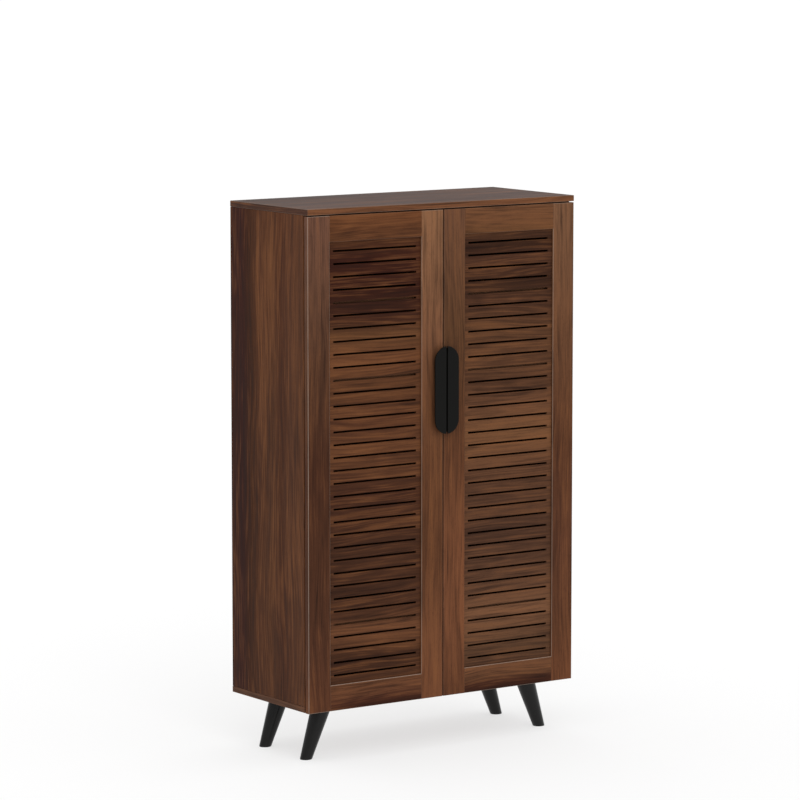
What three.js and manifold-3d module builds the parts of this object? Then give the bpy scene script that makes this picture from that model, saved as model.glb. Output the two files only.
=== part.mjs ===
// Two-door shoe cabinet on splayed legs: a walnut-faced board case with five shelves, two framed
// doors with slotted panels, concealed cup hinges, half-round pull handles and tapered round legs.
// Millimetres, +Z up. The front faces -Y, and the origin is on the floor under the middle of the
// whole object, handles included.

import * as THREE from 'three';
import { mergeVertices } from 'three/addons/utils/BufferGeometryUtils.js';
import Module from 'manifold-3d';

const wasm = await Module();
wasm.setup();

// ---- Driving dimensions ---------------------------------------------------------------------

// Case
const WIDTH = 800;
const CASE_DEPTH = 345; // door front to back face
const BODY_HEIGHT = 1230; // underside of the case to its top surface
const BOARD = 15; // top, bottom, sides and shelves
const BACK_THICKNESS = 3;
const BACK_REBATE = 6; // how far the back panel reaches into the boards round it
const SHELF_COUNT = 5;
const SHELF_SETBACK = 0; // shelf front edge behind the front edge of the sides
const BOTTOM_BAY_EXTRA = 10; // the bottom compartment is this much taller than the middle ones
const TOP_BAY_EXTRA = 23; // and the top one this much
const BOARD_ARRIS = 0.8; // bevel along the trimmed edges of every board
const SEAM = 0.3; // gap left wherever two pieces meet

// Doors
const DOOR_THICKNESS = 16;
const DOOR_TOP_REVEAL = 3; // gap under the top panel
const DOOR_SPLIT = 3; // gap between the two doors
const DOOR_BACK_GAP = 3; // gap between a closed door and the case behind it
const STILE_WIDTH = 64;
const RAIL_HEIGHT = 64;
const TENON = 7; // rail tongues and panel edges reach this far into the frame's groove
const DOOR_ARRIS = 1.2; // bevel round the outside of a door
const OPENING_ARRIS = 1.5; // bevel round the front of the frame's opening

// Slotted panel
const PANEL_THICKNESS = 6;
const PANEL_RECESS = 5; // panel face behind the door's front
const SLOT_HEIGHT = 5;
const SLOT_PITCH = 31.5;
const SLOT_SIDE_MARGIN = 13; // slot end to the frame
const SLOT_END_MARGIN = 16; // least distance from a rail to the nearest slot's middle

// Handles: two halves of one upright stadium, each a plate on an angle
const HANDLE_STANDOFF = 16; // plate front in front of the door
const HANDLE_WIDTH = 33.5;
const HANDLE_HEIGHT = 217;
const HANDLE_CENTRE = 768; // above the door's bottom edge
const HANDLE_EDGE_INSET = 0.5; // straight edge behind the door's meeting edge
const HANDLE_METAL = 3;
const HANDLE_WEB_INSET = 4; // the web is this much shorter at each end
const HANDLE_FOOT_INSET = 13.5; // and the foot this much
const HANDLE_FOOT_WIDTH = 13;
const HANDLE_SCREW_SPACING = 96;
const HANDLE_SCREW_INSET = 8; // screw axis from the straight edge
const HANDLE_SCREW_RADIUS = 2;
const HANDLE_SCREW_HEAD_RADIUS = 4;
const HANDLE_SCREW_HEAD = 2.2;

// Hinges: single-pivot 35 mm cup hinges for full-overlay doors
const CUP_RADIUS = 17.5;
const CUP_DEPTH = 12;
const CUP_WALL = 0.8;
const CUP_EDGE = 3; // door edge to the cup's bore
const FLANGE_THICKNESS = 1;
const FLANGE_LENGTH = 56;
const FLANGE_WIDTH = 27;
const FLANGE_CORNER = 6;
const PIVOT_INSET = 7; // pin axis from the case's side face
const PIVOT_DEPTH = 8; // pin axis in front of the door's back face
const PIN_RADIUS = 1.2;
const PIN_RUNNING_GAP = 0.06;
const KNUCKLE_RADIUS = 2.4;
const ARM_NECK_WIDTH = 5;
const ARM_NECK_THICKNESS = 3;
const ARM_REACH_THICKNESS = 4;
const ARM_SIDE_GAP = 2; // neck clear of the side panel's inner face
const ARM_CHANNEL_WIDTH = 13;
const ARM_CHANNEL_WALL = 1.5;
const ARM_CHANNEL_RISE = 11; // side panel to the channel's outer face
const ARM_CHANNEL_LENGTH = 56;
const ARM_CHANNEL_SETBACK = 6; // channel's front end behind the side panel's front edge
const PLATE_SETBACK = 37; // middle of the mounting plate behind the side panel's front edge
const PLATE_WING_LENGTH = 46;
const PLATE_WING_WIDTH = 14;
const PLATE_WING_THICKNESS = 2;
const PLATE_RAIL_WIDTH = 8.5;
const PLATE_RAIL_LENGTH = 34;
const PLATE_RAIL_RISE = 7;
const HINGE_BAYS = [0, 3, 5]; // compartments, counted from the bottom, that hold a hinge pair

// Legs
const LEG_HEIGHT = 130;
const LEG_SPLAY = THREE.MathUtils.degToRad(19.8); // outwards, sideways only
const LEG_FOOT_RADIUS = 14.5;
const LEG_TOP_RADIUS = 24.5;
const LEG_TOP_INSET = 90; // leg axis to the side face, at the case's underside
const LEG_FRONT_INSET = 80; // leg axis behind the door's front
const LEG_BACK_INSET = 81; // leg axis in front of the case's back
const LEG_PLATE_SIZE = 60;
const LEG_PLATE_THICKNESS = 2.5;
const LEG_STUD_RADIUS = 4;
const LEG_STUD_LENGTH = 30;

// ---- Planes that follow from them -------------------------------------------------------------

const DOOR_FRONT = (HANDLE_STANDOFF - CASE_DEPTH) / 2;
const CASE_BACK = DOOR_FRONT + CASE_DEPTH;
const DOOR_BACK = DOOR_FRONT + DOOR_THICKNESS;
const CASE_FRONT = DOOR_BACK + DOOR_BACK_GAP;
const CASE_SIDE = -WIDTH / 2; // outer face of the left side
const CASE_BASE = LEG_HEIGHT;
const CASE_TOP = CASE_BASE + BODY_HEIGHT;
const BAY_FLOOR = CASE_BASE + BOARD;
const BAY_CEILING = CASE_TOP - BOARD;
const BACK_FACE = CASE_BACK - BACK_THICKNESS; // front of the back panel
const SHELF_DATUM = BAY_FLOOR + BOTTOM_BAY_EXTRA; // shelf tops stand whole pitches above this
const SHELF_PITCH = (BAY_CEILING - TOP_BAY_EXTRA + BOARD - SHELF_DATUM) / (SHELF_COUNT + 1);
const BAY_HEIGHT = SHELF_PITCH - BOARD;

const DOOR_BASE = CASE_BASE;
const DOOR_TOP = BAY_CEILING - DOOR_TOP_REVEAL;
const DOOR_EDGE = CASE_SIDE + (WIDTH - DOOR_SPLIT) / 2; // meeting edge of the left door
const OPENING_LEFT = CASE_SIDE + STILE_WIDTH;
const OPENING_RIGHT = DOOR_EDGE - STILE_WIDTH;
const OPENING_BASE = DOOR_BASE + RAIL_HEIGHT;
const OPENING_TOP = DOOR_TOP - RAIL_HEIGHT;
const PANEL_FRONT = DOOR_FRONT + PANEL_RECESS;
const PANEL_BACK = PANEL_FRONT + PANEL_THICKNESS;

const HANDLE_EDGE = DOOR_EDGE - HANDLE_EDGE_INSET;
const HANDLE_MIDDLE = DOOR_BASE + HANDLE_CENTRE;
const HANDLE_FRONT = DOOR_FRONT - HANDLE_STANDOFF;

const CUP_CENTRE = CASE_SIDE + CUP_EDGE + CUP_RADIUS;
const PIVOT_X = CASE_SIDE + PIVOT_INSET;
const PIVOT_Y = DOOR_BACK - PIVOT_DEPTH;

const ROUND_SEGMENTS = 28;
const SMALL_SEGMENTS = 16;

// ---- Finishes -----------------------------------------------------------------------------------

const finish = (color, roughness, metalness) => ({ color, roughness, metalness });
const WALNUT = finish(0x5e3f2c, 0.5, 0);
const WALNUT_PANEL = finish(0x51342a, 0.5, 0);
const HARDBOARD = finish(0x6b4a36, 0.7, 0);
const BLACK_METAL = finish(0x1c1b1a, 0.45, 0.6);
const BLACK_LACQUER = finish(0x262625, 0.4, 0);
const NICKEL = finish(0xb9b7b0, 0.3, 1);
const ZINC = finish(0x9a9a96, 0.45, 1);

// ---- Shapes -------------------------------------------------------------------------------------

function box([x0, x1], [y0, y1], [z0, z1]) {
  const geometry = new THREE.BoxGeometry(x1 - x0, y1 - y0, z1 - z0);
  return geometry.translate((x0 + x1) / 2, (y0 + y1) / 2, (z0 + z1) / 2);
}

// A board with both faces' edges bevelled. Its thickness is its shortest side.
function trimmedBoard(spans, arris) {
  const sizes = spans.map(([low, high]) => high - low);
  const thin = sizes.indexOf(Math.min(...sizes));
  const [a, b] = [(thin + 1) % 3, (thin + 2) % 3];
  const face = rectangle(new THREE.Shape(), -sizes[a] / 2, sizes[a] / 2, -sizes[b] / 2, sizes[b] / 2);
  const geometry = new THREE.ExtrudeGeometry(face, {
    depth: sizes[thin] - 2 * arris,
    bevelSize: arris,
    bevelOffset: -arris,
    bevelThickness: arris,
    bevelSegments: 1,
  });
  geometry.translate(0, 0, arris - sizes[thin] / 2);
  const axes = [0, 1, 2].map((i) => new THREE.Vector3().setComponent(i, 1));
  geometry.applyMatrix4(new THREE.Matrix4().makeBasis(axes[a], axes[b], axes[thin]));
  return geometry.translate(...spans.map(([low, high]) => (low + high) / 2));
}

// A cylinder or cone about the Z axis, its middle at the origin.
function round(topRadius, bottomRadius, height, segments = ROUND_SEGMENTS) {
  const geometry = new THREE.CylinderGeometry(topRadius, bottomRadius, height, segments);
  return geometry.rotateX(Math.PI / 2);
}

// A cylinder lying along Y between y0 and y1.
function rodAlongY(radius, x, z, [y0, y1], segments = SMALL_SEGMENTS) {
  const geometry = new THREE.CylinderGeometry(radius, radius, y1 - y0, segments);
  return geometry.translate(x, (y0 + y1) / 2, z);
}

// Extrudes an outline drawn in X and Z along Y, from y0 to y1.
function plateAcrossY(outline, [y0, y1]) {
  const geometry = new THREE.ExtrudeGeometry(outline, {
    depth: y1 - y0,
    bevelEnabled: false,
    curveSegments: SMALL_SEGMENTS,
  });
  return geometry.rotateX(Math.PI / 2).translate(0, y1, 0);
}

function rectangle(target, x0, x1, z0, z1) {
  target.moveTo(x0, z0);
  target.lineTo(x1, z0);
  target.lineTo(x1, z1);
  target.lineTo(x0, z1);
  target.closePath();
  return target;
}

// ---- Joining and cutting ------------------------------------------------------------------------

function solid(geometry) {
  const bare = geometry.clone();
  bare.deleteAttribute('normal');
  bare.deleteAttribute('uv');
  const merged = mergeVertices(bare);
  return new wasm.Manifold(new wasm.Mesh({
    numProp: 3,
    vertProperties: new Float32Array(merged.attributes.position.array),
    triVerts: new Uint32Array(merged.index.array),
  }));
}

function geometryOf(manifold) {
  const result = manifold.getMesh();
  const geometry = new THREE.BufferGeometry();
  geometry.setAttribute('position', new THREE.BufferAttribute(result.vertProperties, 3));
  geometry.setIndex(new THREE.BufferAttribute(result.triVerts, 1));
  return geometry;
}

const join = (...pieces) => geometryOf(pieces.map(solid).reduce((a, b) => a.add(b)));

function cut(piece, ...tools) {
  return geometryOf(tools.map(solid).reduce((rest, tool) => rest.subtract(tool), solid(piece)));
}

const common = (a, b) => geometryOf(solid(a).intersect(solid(b)));

// The mirror image in the plane x = 0, with its faces still pointing outwards.
function mirrored(geometry) {
  const flipped = geometry.index ? geometry.toNonIndexed() : geometry.clone();
  flipped.deleteAttribute('normal');
  flipped.deleteAttribute('uv');
  flipped.scale(-1, 1, 1);
  const { array } = flipped.attributes.position;
  for (let i = 0; i < array.length; i += 9) {
    const second = array.slice(i + 3, i + 6);
    array.copyWithin(i + 3, i + 6, i + 9);
    array.set(second, i + 6);
  }
  return mergeVertices(flipped);
}

// ---- Assembly -----------------------------------------------------------------------------------

const cabinet = new THREE.Group();

function add(name, geometry, look) {
  const mesh = new THREE.Mesh(geometry, new THREE.MeshStandardMaterial({ ...look, flatShading: true }));
  mesh.name = name;
  cabinet.add(mesh);
}

// Adds a piece drawn on the left, and its mirror image on the right.
function addPair(name, geometry, look) {
  add(`left_${name}`, geometry, look);
  add(`right_${name}`, mirrored(geometry), look);
}

// ---- Case ---------------------------------------------------------------------------------------

const INNER_X = [CASE_SIDE + BOARD, -CASE_SIDE - BOARD];

// The space that the back panel and its clearance take out of the boards round it.
const backBay = box(
  [INNER_X[0] - BACK_REBATE, INNER_X[1] + BACK_REBATE],
  [BACK_FACE - SEAM, CASE_BACK + BOARD],
  [BAY_FLOOR - BACK_REBATE, BAY_CEILING + BACK_REBATE],
);

const topBoard = trimmedBoard(
  [[CASE_SIDE, -CASE_SIDE], [DOOR_FRONT, CASE_BACK], [BAY_CEILING, CASE_TOP]],
  BOARD_ARRIS,
);
add('top_panel', cut(topBoard, backBay), WALNUT);

const bottomBoard = trimmedBoard(
  [[CASE_SIDE, -CASE_SIDE], [CASE_FRONT, CASE_BACK], [CASE_BASE, BAY_FLOOR]],
  BOARD_ARRIS,
);
add('bottom_panel', cut(bottomBoard, backBay), WALNUT);

const sideBoard = trimmedBoard(
  [[CASE_SIDE, INNER_X[0]], [CASE_FRONT, CASE_BACK], [BAY_FLOOR + SEAM, BAY_CEILING - SEAM]],
  BOARD_ARRIS,
);
addPair('side', cut(sideBoard, backBay), WALNUT);

add('back_panel', box(
  [INNER_X[0] - BACK_REBATE + SEAM, INNER_X[1] + BACK_REBATE - SEAM],
  [BACK_FACE, CASE_BACK],
  [BAY_FLOOR - BACK_REBATE + SEAM, BAY_CEILING + BACK_REBATE - SEAM],
), HARDBOARD);

for (let i = 1; i <= SHELF_COUNT; i += 1) {
  const shelfBase = SHELF_DATUM + i * SHELF_PITCH - BOARD;
  add(`shelf_${i}`, trimmedBoard([
    [INNER_X[0] + SEAM, INNER_X[1] - SEAM],
    [CASE_FRONT + SHELF_SETBACK, BACK_FACE - SEAM],
    [shelfBase, shelfBase + BOARD],
  ], BOARD_ARRIS), WALNUT);
}

// ---- Door frames --------------------------------------------------------------------------------

const doorSpan = [DOOR_FRONT, DOOR_BACK];
const doorBlock = trimmedBoard([[CASE_SIDE, DOOR_EDGE], doorSpan, [DOOR_BASE, DOOR_TOP]], DOOR_ARRIS);
const tenonSpan = [PANEL_FRONT + SEAM, PANEL_BACK - SEAM];

// The groove that runs round the opening, as deep as the tongues and a seam.
const grooveCut = box(
  [OPENING_LEFT - TENON - SEAM, OPENING_RIGHT + TENON + SEAM],
  [PANEL_FRONT, PANEL_BACK],
  [DOOR_BASE - BOARD, DOOR_TOP + BOARD],
);
const railGrooveCut = box(
  [CASE_SIDE, DOOR_EDGE],
  [PANEL_FRONT, PANEL_BACK],
  [OPENING_BASE - TENON - SEAM, OPENING_TOP + TENON + SEAM],
);

// A hopper-shaped cutter that bevels the front edges of the opening.
function arrisCut() {
  const width = OPENING_RIGHT - OPENING_LEFT;
  const height = OPENING_TOP - OPENING_BASE;
  const reach = 2 * OPENING_ARRIS;
  const cutter = new THREE.BoxGeometry(width, reach, height);
  const { position } = cutter.attributes;
  for (let i = 0; i < position.count; i += 1) {
    const spread = position.getY(i) < 0 ? reach : 0;
    position.setX(i, position.getX(i) + Math.sign(position.getX(i)) * spread);
    position.setZ(i, position.getZ(i) + Math.sign(position.getZ(i)) * spread);
  }
  return cutter.translate(OPENING_LEFT + width / 2, DOOR_FRONT, OPENING_BASE + height / 2);
}

// The compartments' middles, where the hinges are fixed.
const hingeHeights = HINGE_BAYS.map((bay) => SHELF_DATUM + bay * SHELF_PITCH + BAY_HEIGHT / 2);

const cupBores = hingeHeights.map((z) => rodAlongY(
  CUP_RADIUS + SEAM,
  CUP_CENTRE,
  z,
  [DOOR_BACK - CUP_DEPTH - SEAM, DOOR_BACK + BOARD],
  ROUND_SEGMENTS,
));

const hingeStile = common(box([CASE_SIDE, OPENING_LEFT], doorSpan, [DOOR_BASE, DOOR_TOP]), doorBlock);
addPair('door_hinge_stile', cut(hingeStile, grooveCut, arrisCut(), ...cupBores), WALNUT);

const screwX = HANDLE_EDGE - HANDLE_SCREW_INSET;
const screwHeights = [-1, 1].map((end) => HANDLE_MIDDLE + end * HANDLE_SCREW_SPACING / 2);
const screwHoles = screwHeights.map((z) => rodAlongY(
  HANDLE_SCREW_RADIUS + SEAM,
  screwX,
  z,
  [HANDLE_FRONT + HANDLE_METAL + SEAM, DOOR_BACK + BOARD],
));

const meetingStile = common(box([OPENING_RIGHT, DOOR_EDGE], doorSpan, [DOOR_BASE, DOOR_TOP]), doorBlock);
addPair('door_meeting_stile', cut(meetingStile, grooveCut, arrisCut(), ...screwHoles), WALNUT);

// A rail with a tongue at each end, grooved along its inner edge for the panel.
function rail(span) {
  const body = box([OPENING_LEFT + SEAM, OPENING_RIGHT - SEAM], doorSpan, span);
  const tongue = box([OPENING_LEFT - TENON, OPENING_RIGHT + TENON], tenonSpan, span);
  return cut(common(join(body, tongue), doorBlock), railGrooveCut, arrisCut());
}
addPair('door_top_rail', rail([OPENING_TOP, DOOR_TOP]), WALNUT);
addPair('door_bottom_rail', rail([DOOR_BASE, OPENING_BASE]), WALNUT);

// ---- Slotted panels -----------------------------------------------------------------------------

function slottedPanel() {
  const outline = rectangle(
    new THREE.Shape(),
    OPENING_LEFT - TENON,
    OPENING_RIGHT + TENON,
    OPENING_BASE - TENON,
    OPENING_TOP + TENON,
  );
  const run = OPENING_TOP - OPENING_BASE;
  const gaps = Math.floor((run - 2 * SLOT_END_MARGIN) / SLOT_PITCH);
  const lowest = OPENING_BASE + (run - gaps * SLOT_PITCH) / 2;
  for (let i = 0; i <= gaps; i += 1) {
    const middle = lowest + i * SLOT_PITCH;
    outline.holes.push(rectangle(
      new THREE.Path(),
      OPENING_LEFT + SLOT_SIDE_MARGIN,
      OPENING_RIGHT - SLOT_SIDE_MARGIN,
      middle - SLOT_HEIGHT / 2,
      middle + SLOT_HEIGHT / 2,
    ));
  }
  return plateAcrossY(outline, tenonSpan);
}
addPair('door_louvre_panel', slottedPanel(), WALNUT_PANEL);

// ---- Handles and their screws -------------------------------------------------------------------

// The plate's outline: a straight meeting edge and the half stadium round the gap between doors.
function handleOutline() {
  const centre = DOOR_EDGE + DOOR_SPLIT / 2;
  const radius = centre - HANDLE_EDGE + HANDLE_WIDTH;
  const low = HANDLE_MIDDLE - HANDLE_HEIGHT / 2 + radius;
  const high = HANDLE_MIDDLE + HANDLE_HEIGHT / 2 - radius;
  const edgeAngle = Math.acos((centre - HANDLE_EDGE) / radius);
  const outline = new THREE.Shape();
  outline.absarc(centre, high, radius, Math.PI - edgeAngle, Math.PI, false);
  outline.absarc(centre, low, radius, Math.PI, Math.PI + edgeAngle, false);
  outline.closePath();
  return outline;
}

function handle() {
  const span = (inset) => [
    HANDLE_MIDDLE - HANDLE_HEIGHT / 2 + inset,
    HANDLE_MIDDLE + HANDLE_HEIGHT / 2 - inset,
  ];
  const plate = plateAcrossY(handleOutline(), [HANDLE_FRONT, HANDLE_FRONT + HANDLE_METAL]);
  const foot = [DOOR_FRONT - SEAM - HANDLE_METAL, DOOR_FRONT - SEAM];
  return cut(
    join(
      plate,
      box(
        [HANDLE_EDGE - HANDLE_METAL, HANDLE_EDGE],
        [HANDLE_FRONT, DOOR_FRONT - SEAM],
        span(HANDLE_WEB_INSET),
      ),
      box([HANDLE_EDGE - HANDLE_FOOT_WIDTH, HANDLE_EDGE], foot, span(HANDLE_FOOT_INSET)),
    ),
    ...screwHoles,
  );
}
addPair('handle', handle(), BLACK_METAL);

// A pan-head screw from the door's back into the handle's foot.
screwHeights.forEach((z, i) => {
  const shankEnd = DOOR_FRONT - SEAM - HANDLE_METAL;
  const headFrom = DOOR_BACK + SEAM;
  const shank = rodAlongY(HANDLE_SCREW_RADIUS, screwX, z, [shankEnd, headFrom + HANDLE_SCREW_HEAD / 2]);
  const head = rodAlongY(HANDLE_SCREW_HEAD_RADIUS, screwX, z, [headFrom, headFrom + HANDLE_SCREW_HEAD]);
  addPair(`handle_screw_${i + 1}`, join(shank, head), ZINC);
});

// ---- Hinges -------------------------------------------------------------------------------------

const armInner = CASE_SIDE + BOARD + ARM_SIDE_GAP;
const cupFloor = DOOR_BACK - CUP_DEPTH;

// The cup that sits in the door, with its screw-on flange and the holes for the pin.
function hingeCup(z) {
  const body = rodAlongY(CUP_RADIUS, CUP_CENTRE, z, [cupFloor, DOOR_BACK + SEAM], ROUND_SEGMENTS);
  const flangeBase = DOOR_BACK + SEAM;
  const flangeLeft = CUP_CENTRE - FLANGE_WIDTH / 2;
  const flange = new THREE.Shape();
  const corners = [
    [flangeLeft + FLANGE_CORNER, z - FLANGE_LENGTH / 2 + FLANGE_CORNER, Math.PI],
    [flangeLeft + FLANGE_WIDTH - FLANGE_CORNER, z - FLANGE_LENGTH / 2 + FLANGE_CORNER, -Math.PI / 2],
    [flangeLeft + FLANGE_WIDTH - FLANGE_CORNER, z + FLANGE_LENGTH / 2 - FLANGE_CORNER, 0],
    [flangeLeft + FLANGE_CORNER, z + FLANGE_LENGTH / 2 - FLANGE_CORNER, Math.PI / 2],
  ];
  corners.forEach(([x, height, start]) => {
    flange.absarc(x, height, FLANGE_CORNER, start, start + Math.PI / 2, false);
  });
  flange.closePath();
  const flangePlate = new THREE.ExtrudeGeometry(flange, {
    depth: FLANGE_THICKNESS,
    bevelEnabled: false,
    curveSegments: 4,
  });
  flangePlate.rotateX(Math.PI / 2).translate(0, flangeBase + FLANGE_THICKNESS, 0);
  const hollow = rodAlongY(
    CUP_RADIUS - CUP_WALL,
    CUP_CENTRE,
    z,
    [cupFloor + CUP_WALL, flangeBase + FLANGE_THICKNESS + SEAM],
    ROUND_SEGMENTS,
  );
  const pinHole = round(PIN_RADIUS + SEAM, PIN_RADIUS + SEAM, 2 * CUP_RADIUS, SMALL_SEGMENTS);
  pinHole.translate(PIVOT_X, PIVOT_Y, z);
  return cut(join(body, flangePlate), hollow, pinHole);
}

// The pin that crosses the cup, its ends in the holes in the cup's wall.
function hingePin(z) {
  const offset = CUP_CENTRE - PIVOT_X + PIN_RADIUS;
  const reach = Math.sqrt(CUP_RADIUS ** 2 - offset ** 2) + SEAM;
  return round(PIN_RADIUS, PIN_RADIUS, 2 * reach, SMALL_SEGMENTS).translate(PIVOT_X, PIVOT_Y, z);
}

// The arm: a channel over the mounting plate, a neck round the side panel's edge into the cup,
// and a knuckle on the pin.
function hingeArm(z) {
  const neckHeights = [z - ARM_NECK_WIDTH / 2, z + ARM_NECK_WIDTH / 2];
  const channelOuter = CASE_SIDE + BOARD + ARM_CHANNEL_RISE;
  const channelInner = CASE_SIDE + BOARD + PLATE_WING_THICKNESS + 2 * SEAM;
  const channelFront = CASE_FRONT + ARM_CHANNEL_SETBACK;
  const channelSpan = [channelFront, channelFront + ARM_CHANNEL_LENGTH];
  const channel = box(
    [channelInner, channelOuter],
    channelSpan,
    [z - ARM_CHANNEL_WIDTH / 2, z + ARM_CHANNEL_WIDTH / 2],
  );
  const channelHollow = box(
    [channelInner - BOARD, channelOuter - ARM_CHANNEL_WALL],
    [channelFront + ARM_CHANNEL_WALL, channelSpan[1] + BOARD],
    [z - ARM_CHANNEL_WIDTH / 2 + ARM_CHANNEL_WALL, z + ARM_CHANNEL_WIDTH / 2 - ARM_CHANNEL_WALL],
  );
  const reachFront = PIVOT_Y - ARM_REACH_THICKNESS / 2;
  const neck = box(
    [armInner, armInner + ARM_NECK_THICKNESS],
    [reachFront, channelFront + ARM_CHANNEL_WALL],
    neckHeights,
  );
  const reach = box(
    [PIVOT_X, armInner + ARM_NECK_THICKNESS],
    [reachFront, reachFront + ARM_REACH_THICKNESS],
    neckHeights,
  );
  const knuckle = round(KNUCKLE_RADIUS, KNUCKLE_RADIUS, ARM_NECK_WIDTH, SMALL_SEGMENTS);
  knuckle.translate(PIVOT_X, PIVOT_Y, z);
  const eyeRadius = (PIN_RADIUS + PIN_RUNNING_GAP) / Math.cos(Math.PI / SMALL_SEGMENTS);
  const eye = round(eyeRadius, eyeRadius, 2 * ARM_NECK_WIDTH, SMALL_SEGMENTS);
  eye.translate(PIVOT_X, PIVOT_Y, z);
  return cut(join(cut(channel, channelHollow), neck, reach, knuckle), eye);
}

// The winged plate that is screwed to the side panel and holds the arm.
function hingePlate(z) {
  const base = CASE_SIDE + BOARD + SEAM;
  const middle = CASE_FRONT + PLATE_SETBACK;
  const wings = box(
    [base, base + PLATE_WING_THICKNESS],
    [middle - PLATE_WING_WIDTH / 2, middle + PLATE_WING_WIDTH / 2],
    [z - PLATE_WING_LENGTH / 2, z + PLATE_WING_LENGTH / 2],
  );
  const rider = box(
    [base, base + PLATE_RAIL_RISE],
    [middle - PLATE_RAIL_LENGTH / 2, middle + PLATE_RAIL_LENGTH / 2],
    [z - PLATE_RAIL_WIDTH / 2, z + PLATE_RAIL_WIDTH / 2],
  );
  return join(wings, rider);
}

hingeHeights.forEach((z, i) => {
  addPair(`hinge_cup_${i + 1}`, hingeCup(z), NICKEL);
  addPair(`hinge_pin_${i + 1}`, hingePin(z), ZINC);
  addPair(`hinge_arm_${i + 1}`, hingeArm(z), NICKEL);
  addPair(`hinge_plate_${i + 1}`, hingePlate(z), NICKEL);
});

// ---- Legs ---------------------------------------------------------------------------------------

const plateBase = CASE_BASE - SEAM - LEG_PLATE_THICKNESS;
const legTopX = CASE_SIDE + LEG_TOP_INSET;

// Tilts a piece drawn along Z and puts its origin where the leg's axis meets the given height.
function alongLeg(geometry, y, height) {
  const x = legTopX - (CASE_BASE - height) * Math.tan(LEG_SPLAY);
  return geometry.rotateY(LEG_SPLAY).translate(x, y, height);
}

// A turned, tapered leg, cut level at the floor and under its plate.
function leg(y) {
  const legTop = plateBase - SEAM;
  const overrun = LEG_TOP_RADIUS;
  const axisLength = CASE_BASE / Math.cos(LEG_SPLAY);
  const flare = (LEG_TOP_RADIUS - LEG_FOOT_RADIUS) / axisLength;
  const cone = alongLeg(
    round(
      LEG_TOP_RADIUS + flare * overrun,
      LEG_FOOT_RADIUS - flare * overrun,
      axisLength + 2 * overrun,
    ),
    y,
    CASE_BASE / 2,
  );
  const reach = WIDTH / 2;
  const slab = box([legTopX - reach, legTopX + reach], [y - reach, y + reach], [0, legTop]);
  const bore = LEG_STUD_RADIUS + SEAM;
  const boreLength = 2 * (LEG_STUD_LENGTH + SEAM);
  const studHole = alongLeg(round(bore, bore, boreLength, SMALL_SEGMENTS), y, plateBase);
  return cut(common(cone, slab), studHole);
}

// The steel plate under the case, with the stud that the leg is screwed on to.
function legPlate(y) {
  const plate = box(
    [legTopX - LEG_PLATE_SIZE / 2, legTopX + LEG_PLATE_SIZE / 2],
    [y - LEG_PLATE_SIZE / 2, y + LEG_PLATE_SIZE / 2],
    [plateBase, plateBase + LEG_PLATE_THICKNESS],
  );
  const rod = round(LEG_STUD_RADIUS, LEG_STUD_RADIUS, 2 * LEG_STUD_LENGTH, SMALL_SEGMENTS);
  const stud = alongLeg(rod, y, plateBase);
  const below = box(
    [legTopX - WIDTH / 2, legTopX + WIDTH / 2],
    [y - WIDTH / 2, y + WIDTH / 2],
    [plateBase - LEG_STUD_LENGTH, plateBase + LEG_PLATE_THICKNESS / 2],
  );
  return join(plate, common(stud, below));
}

const legRows = { front: DOOR_FRONT + LEG_FRONT_INSET, back: CASE_BACK - LEG_BACK_INSET };
Object.entries(legRows).forEach(([row, y]) => {
  addPair(`${row}_leg`, leg(y), BLACK_LACQUER);
  addPair(`${row}_leg_plate`, legPlate(y), ZINC);
});

export default cabinet;
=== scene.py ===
"""Looks for a two-door shoe cabinet: walnut-figured boards, slotted door panels, black pulls and legs.

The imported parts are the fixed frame. Boards, door frames and slotted panels keep their own shape and
get eased edges and a finish. Handles, legs, hinges and screws are made again as finer pieces.
"""

import math

import bmesh
import bpy
from bpy.props import FloatProperty, FloatVectorProperty, PointerProperty
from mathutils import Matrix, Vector


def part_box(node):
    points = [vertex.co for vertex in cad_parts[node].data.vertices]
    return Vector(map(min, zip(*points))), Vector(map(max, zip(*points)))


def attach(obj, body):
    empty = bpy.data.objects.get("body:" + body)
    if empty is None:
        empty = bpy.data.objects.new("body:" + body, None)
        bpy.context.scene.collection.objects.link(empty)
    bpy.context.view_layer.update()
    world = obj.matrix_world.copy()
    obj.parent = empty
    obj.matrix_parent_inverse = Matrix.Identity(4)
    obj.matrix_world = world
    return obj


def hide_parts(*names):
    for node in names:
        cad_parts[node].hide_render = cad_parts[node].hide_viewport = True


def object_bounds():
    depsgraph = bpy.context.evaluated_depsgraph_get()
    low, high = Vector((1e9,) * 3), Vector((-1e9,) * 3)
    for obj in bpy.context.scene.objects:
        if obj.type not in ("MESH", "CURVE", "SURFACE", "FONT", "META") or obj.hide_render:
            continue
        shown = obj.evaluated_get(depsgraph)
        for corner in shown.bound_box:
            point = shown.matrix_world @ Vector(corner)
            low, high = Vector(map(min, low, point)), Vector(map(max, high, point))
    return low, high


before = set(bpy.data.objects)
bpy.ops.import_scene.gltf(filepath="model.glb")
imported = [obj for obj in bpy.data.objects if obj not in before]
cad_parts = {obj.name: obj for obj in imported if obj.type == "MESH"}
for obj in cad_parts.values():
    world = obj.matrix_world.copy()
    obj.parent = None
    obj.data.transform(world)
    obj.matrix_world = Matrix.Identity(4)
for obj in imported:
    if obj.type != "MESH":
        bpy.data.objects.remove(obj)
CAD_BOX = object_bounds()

bl_info = {
    "name": "Walnut Shoe Cabinet",
    "version": (1, 0, 0),
    "blender": (4, 5, 0),
    "location": "View3D > Sidebar > Cabinet",
    "description": "Finishes and fine pieces for a two-door shoe cabinet",
    "category": "Object",
}

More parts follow.
